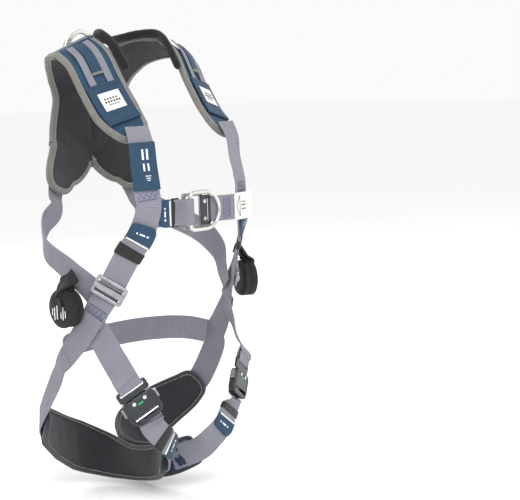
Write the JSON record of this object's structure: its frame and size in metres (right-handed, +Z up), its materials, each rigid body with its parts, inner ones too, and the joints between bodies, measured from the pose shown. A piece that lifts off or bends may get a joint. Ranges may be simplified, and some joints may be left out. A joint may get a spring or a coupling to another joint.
{
  "type": "safety harness",
  "caption": "Full-body safety harness in worn shape: padded yoke and seat pads, grey webbing, dorsal ring, chest link and quick-release leg buckles.",
  "frame": {"origin": "middle of the wearer's body at crotch height, with the harness in the shape it has when worn", "axes": "+Z up along the wearer's body, the wearer faces -Y, the wearer's left is +X"},
  "size_m": [0.4329, 0.3361, 0.8361],
  "materials": {
    "alloy": "bright alloy",
    "black_fleece": "black brushed fleece",
    "blue_nylon": "petrol-blue woven nylon",
    "buckle_metal": "graphite anodised body",
    "elastic": "black ribbed elastic",
    "forged_steel": "bright forged steel",
    "label": "white woven label",
    "pad_fabric": "petrol-blue ripstop nylon with taupe binding",
    "plate_metal": "dark grey coated steel",
    "pouch_fabric": "black padded nylon",
    "pull_plastic": "black moulded plastic",
    "seat_fabric": "dark-blue ripstop nylon",
    "spring_steel": "spring steel",
    "steel": "zinc-plated pressed steel",
    "webbing": "ribbed silver-grey polyester webbing"
  },
  "bodies": {
    "harness": {"back_yoke_pad": "pad_fabric", "back_panel": "pad_fabric", "shoulder_pad_left": "pad_fabric", "shoulder_pad_right": "pad_fabric", "neck_collar": "black_fleece", "label_pockets": "blue_nylon", "size_labels": "label", "retrieval_loops": "webbing", "shoulder_strap_left": "webbing", "shoulder_strap_right": "webbing", "strap_sleeve": "blue_nylon", "torso_tail_left": "webbing", "torso_tail_right": "webbing", "strap_end_tags": "blue_nylon", "elastic_keepers": "elastic", "torso_adjuster_frame_left": "steel", "torso_adjuster_frame_right": "steel", "chest_loop_strap": "webbing", "chest_frame": "steel", "chest_hook_plate": "plate_metal", "chest_rivets": "alloy", "chest_strap_left": "webbing", "chest_label": "label", "dorsal_loop": "webbing", "back_diagonal_strap_left": "webbing", "back_diagonal_strap_right": "webbing", "lower_back_strap": "webbing", "hip_strap_left": "webbing", "hip_strap_right": "webbing", "gear_pouch_left": "pouch_fabric", "gear_pouch_right": "pouch_fabric", "leg_strap_upper_left": "webbing", "leg_strap_upper_right": "webbing", "leg_buckle_body_left": "buckle_metal", "leg_buckle_body_right": "buckle_metal", "leg_buckle_rivets": "alloy", "latch_springs": "spring_steel", "leg_strap_lower_left": "webbing", "leg_strap_lower_right": "webbing", "seat_pad_left": "seat_fabric", "seat_pad_right": "seat_fabric"},
    "dorsal_ring": {"dorsal_d_ring": "forged_steel"},
    "chest_link": {"chest_d_link": "forged_steel"},
    "torso_bar_left": {"torso_adjuster_bar_left": "steel"},
    "leg_tongue_left": {"leg_tongue_left": "plate_metal", "tongue_loop_left": "webbing"},
    "leg_bar_left": {"leg_adjuster_bar_left": "alloy"},
    "release_tab_inner_left": {"release_tab_inner_left": "alloy"},
    "release_tab_outer_left": {"release_tab_outer_left": "alloy"},
    "zip_pull_left": {"zip_pull_left": "pull_plastic"},
    "torso_bar_right": {"torso_adjuster_bar_right": "steel"},
    "leg_tongue_right": {"leg_tongue_right": "plate_metal", "tongue_loop_right": "webbing"},
    "leg_bar_right": {"leg_adjuster_bar_right": "alloy"},
    "release_tab_inner_right": {"release_tab_inner_right": "alloy"},
    "release_tab_outer_right": {"release_tab_outer_right": "alloy"},
    "zip_pull_right": {"zip_pull_right": "pull_plastic"}
  },
  "joints": [
    {"name": "dorsal_ring_tilt", "type": "hinge", "parent": "harness", "child": "dorsal_ring", "pos_m": [0, 0.17, 0.6225], "axis": [1, 0, 0], "range_deg": [-150, 10]},
    {"name": "chest_link_swing", "type": "hinge", "parent": "harness", "child": "chest_link", "pos_m": [-0.03, -0.14994, 0.398], "axis": [0, 0, 1], "range_deg": [-150, 0]},
    {"name": "torso_bar_left_slide", "type": "slide", "parent": "harness", "child": "torso_bar_left", "axis": [-0.2199, -0.4981, 0.8388], "range_m": [-0.005, 0.005]},
    {"name": "leg_tongue_left_slide", "type": "slide", "parent": "harness", "child": "leg_tongue_left", "axis": [0.4559, 0.2004, 0.8672], "range_m": [0, 0.024]},
    {"name": "leg_bar_left_slide", "type": "slide", "parent": "harness", "child": "leg_bar_left", "axis": [0.4559, 0.2004, 0.8672], "range_m": [0, 0.0024]},
    {"name": "release_tab_inner_left_press", "type": "slide", "parent": "harness", "child": "release_tab_inner_left", "axis": [0.7939, 0.3489, -0.498], "range_m": [0, 0.003], "stiffness_N_per_m": 800, "springref_m": -0.0005},
    {"name": "release_tab_outer_left_press", "type": "slide", "parent": "harness", "child": "release_tab_outer_left", "axis": [-0.7939, -0.3489, 0.498], "range_m": [0, 0.003], "stiffness_N_per_m": 800, "springref_m": -0.0005},
    {"name": "zip_pull_left_swing", "type": "hinge", "parent": "harness", "child": "zip_pull_left", "pos_m": [0.21291, -0.05934, 0.263], "axis": [0.9343, -0.3566, 0], "range_deg": [-100, 100]},
    {"name": "torso_bar_right_slide", "type": "slide", "parent": "harness", "child": "torso_bar_right", "axis": [0.2199, -0.4981, 0.8388], "range_m": [-0.005, 0.005]},
    {"name": "leg_tongue_right_slide", "type": "slide", "parent": "harness", "child": "leg_tongue_right", "axis": [-0.4559, 0.2004, 0.8672], "range_m": [0, 0.024]},
    {"name": "leg_bar_right_slide", "type": "slide", "parent": "harness", "child": "leg_bar_right", "axis": [-0.4559, 0.2004, 0.8672], "range_m": [0, 0.0024]},
    {"name": "release_tab_inner_right_press", "type": "slide", "parent": "harness", "child": "release_tab_inner_right", "axis": [-0.7939, 0.3489, -0.498], "range_m": [0, 0.003], "stiffness_N_per_m": 800, "springref_m": -0.0005},
    {"name": "release_tab_outer_right_press", "type": "slide", "parent": "harness", "child": "release_tab_outer_right", "axis": [0.7939, -0.3489, 0.498], "range_m": [0, 0.003], "stiffness_N_per_m": 800, "springref_m": -0.0005},
    {"name": "zip_pull_right_swing", "type": "hinge", "parent": "harness", "child": "zip_pull_right", "pos_m": [-0.20808, -0.006, 0.253], "axis": [-1, 0, 0], "range_deg": [-100, 100]}
  ]
}
